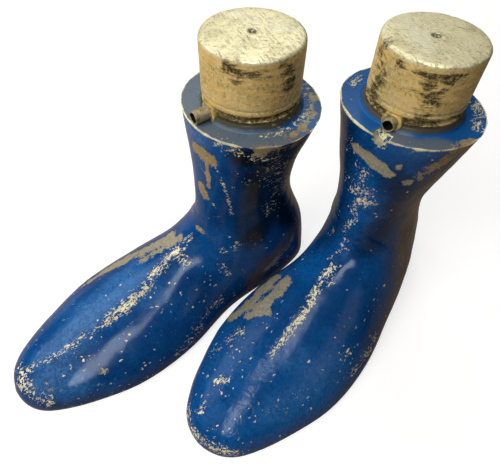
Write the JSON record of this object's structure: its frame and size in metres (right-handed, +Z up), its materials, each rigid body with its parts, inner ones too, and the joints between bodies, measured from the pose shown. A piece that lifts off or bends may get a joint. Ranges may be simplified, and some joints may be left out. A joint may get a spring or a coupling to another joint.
{
  "type": "pair of boot maker's foot forms",
  "caption": "Left and right hollow cast foot forms for making and trimming boots, each with a flared collar, a turned clamping post and a vent tube.",
  "frame": {"origin": "middle of the pair's bounding box on the floor under the soles", "axes": "+Y from the toes to the heels, +Z up along the posts, +X to the side of the left form"},
  "size_m": [0.2236, 0.3478, 0.2189],
  "materials": {
    "blue_paint": "gloss blue paint on cast aluminium, chipped and worn",
    "bare_aluminium": "turned, yellowed and smeared",
    "tube_metal": "drawn tube, dull",
    "plain_steel": "plain, inside the form",
    "gasket_fibre": "oiled fibre sheet"
  },
  "bodies": {
    "root": {"left_foot_casting": "blue_paint", "left_post": "bare_aluminium", "left_seat_gasket": "gasket_fibre", "left_vent_tube": "tube_metal", "left_tube_boss": "bare_aluminium", "left_tie_rod": "plain_steel", "left_lock_nut": "plain_steel", "right_foot_casting": "blue_paint", "right_post": "bare_aluminium", "right_seat_gasket": "gasket_fibre", "right_vent_tube": "tube_metal", "right_tube_boss": "bare_aluminium", "right_tie_rod": "plain_steel", "right_lock_nut": "plain_steel"}
  },
  "joints": []
}
